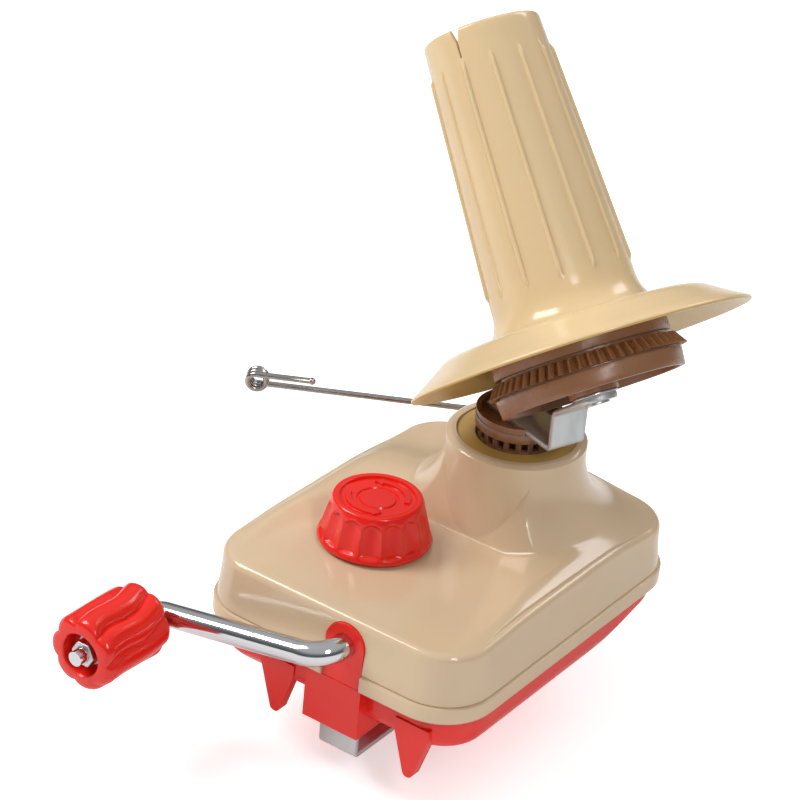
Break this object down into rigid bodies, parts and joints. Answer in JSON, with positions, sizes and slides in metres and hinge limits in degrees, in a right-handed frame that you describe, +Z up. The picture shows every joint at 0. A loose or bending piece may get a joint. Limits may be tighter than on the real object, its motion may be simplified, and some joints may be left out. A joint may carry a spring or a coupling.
{
  "type": "ball winder",
  "caption": "Table-clamped ball winder: a hand crank whirls a tilted winding spool on a geared arm above a moulded housing, with a wire yarn guide.",
  "frame": {"origin": "on the upright spindle axis, in the plane of the base's underside, which rests on the table", "axes": "+X to the right of a person facing the crank, +Y away from the crank, +Z up along the spindle"},
  "size_m": [0.1629, 0.1818, 0.2171],
  "materials": {
    "beige_plastic": "glossy, injection moulded",
    "cream_plastic": "satin, slightly translucent",
    "red_plastic": "glossy, injection moulded",
    "brown_plastic": "satin moulded nylon",
    "white_nylon": "matt",
    "zinc_steel": "zinc plated sheet",
    "plated_rod": "bright plated rod, slightly pitted",
    "steel": "bright turned steel",
    "wire_steel": "drawn wire"
  },
  "bodies": {
    "housing": {"top_cover": "beige_plastic", "base_tray": "red_plastic", "cover_screws": "steel", "center_post": "steel", "neck_bush": "white_nylon", "thrust_washer": "steel", "sun_gear": "brown_plastic", "sun_screw": "steel", "clamp_washer": "white_nylon", "guide_bush": "beige_plastic"},
    "crank": {"crank_handle": "plated_rod", "grip_washer": "steel", "grip_nut": "steel", "shaft_clip": "steel", "drive_gear": "white_nylon", "drive_gear_pin": "steel"},
    "grip": {"crank_grip": "red_plastic"},
    "arm": {"drive_pinion": "white_nylon", "arm_hub": "brown_plastic", "arm_bracket": "zinc_steel", "spool_axle": "steel", "axle_washer": "steel", "axle_clip": "steel"},
    "spool": {"spool_gear": "brown_plastic", "winding_spool": "cream_plastic"},
    "knob": {"clamp_knob": "red_plastic", "clamp_screw": "steel"},
    "clamp": {"clamp_bracket": "zinc_steel", "clamp_nut": "steel"},
    "guide": {"yarn_guide": "wire_steel"}
  },
  "joints": [
    {"name": "crank_turn", "type": "hinge", "parent": "housing", "child": "crank", "pos_m": [0, -0.08, 0.0274], "axis": [0, 1, 0], "continuous": true},
    {"name": "grip_spin", "type": "hinge", "parent": "crank", "child": "grip", "pos_m": [-0.06746, -0.115, 0.01441], "axis": [0, 1, 0], "continuous": true},
    {"name": "arm_turn", "type": "hinge", "parent": "housing", "child": "arm", "pos_m": [0, 0, 0.07], "axis": [0, 0, 1], "continuous": true},
    {"name": "spool_turn", "type": "hinge", "parent": "arm", "child": "spool", "pos_m": [0, 0, 0.1405], "axis": [-0.5978, 0.2093, 0.7738], "continuous": true},
    {"name": "clamp_slide", "type": "slide", "parent": "housing", "child": "clamp", "axis": [0, 0, 1], "range_m": [-0.0105, 0.0045]},
    {"name": "knob_turn", "type": "hinge", "parent": "housing", "child": "knob", "pos_m": [-0.0213, -0.0454, 0.045], "axis": [0, 0, 1], "range_deg": [-1621, 3781]},
    {"name": "guide_swing", "type": "hinge", "parent": "housing", "child": "guide", "pos_m": [-0.002, 0.032, 0.05], "axis": [0, 0, 1], "range_deg": [-110, 4]}
  ],
  "couplings": [
    {"joint": "arm_turn", "follows": "crank_turn", "ratio": 3},
    {"joint": "spool_turn", "follows": "crank_turn", "ratio": 0.6},
    {"joint": "knob_turn", "follows": "clamp_slide", "rad_per_m": -6283.2}
  ]
}
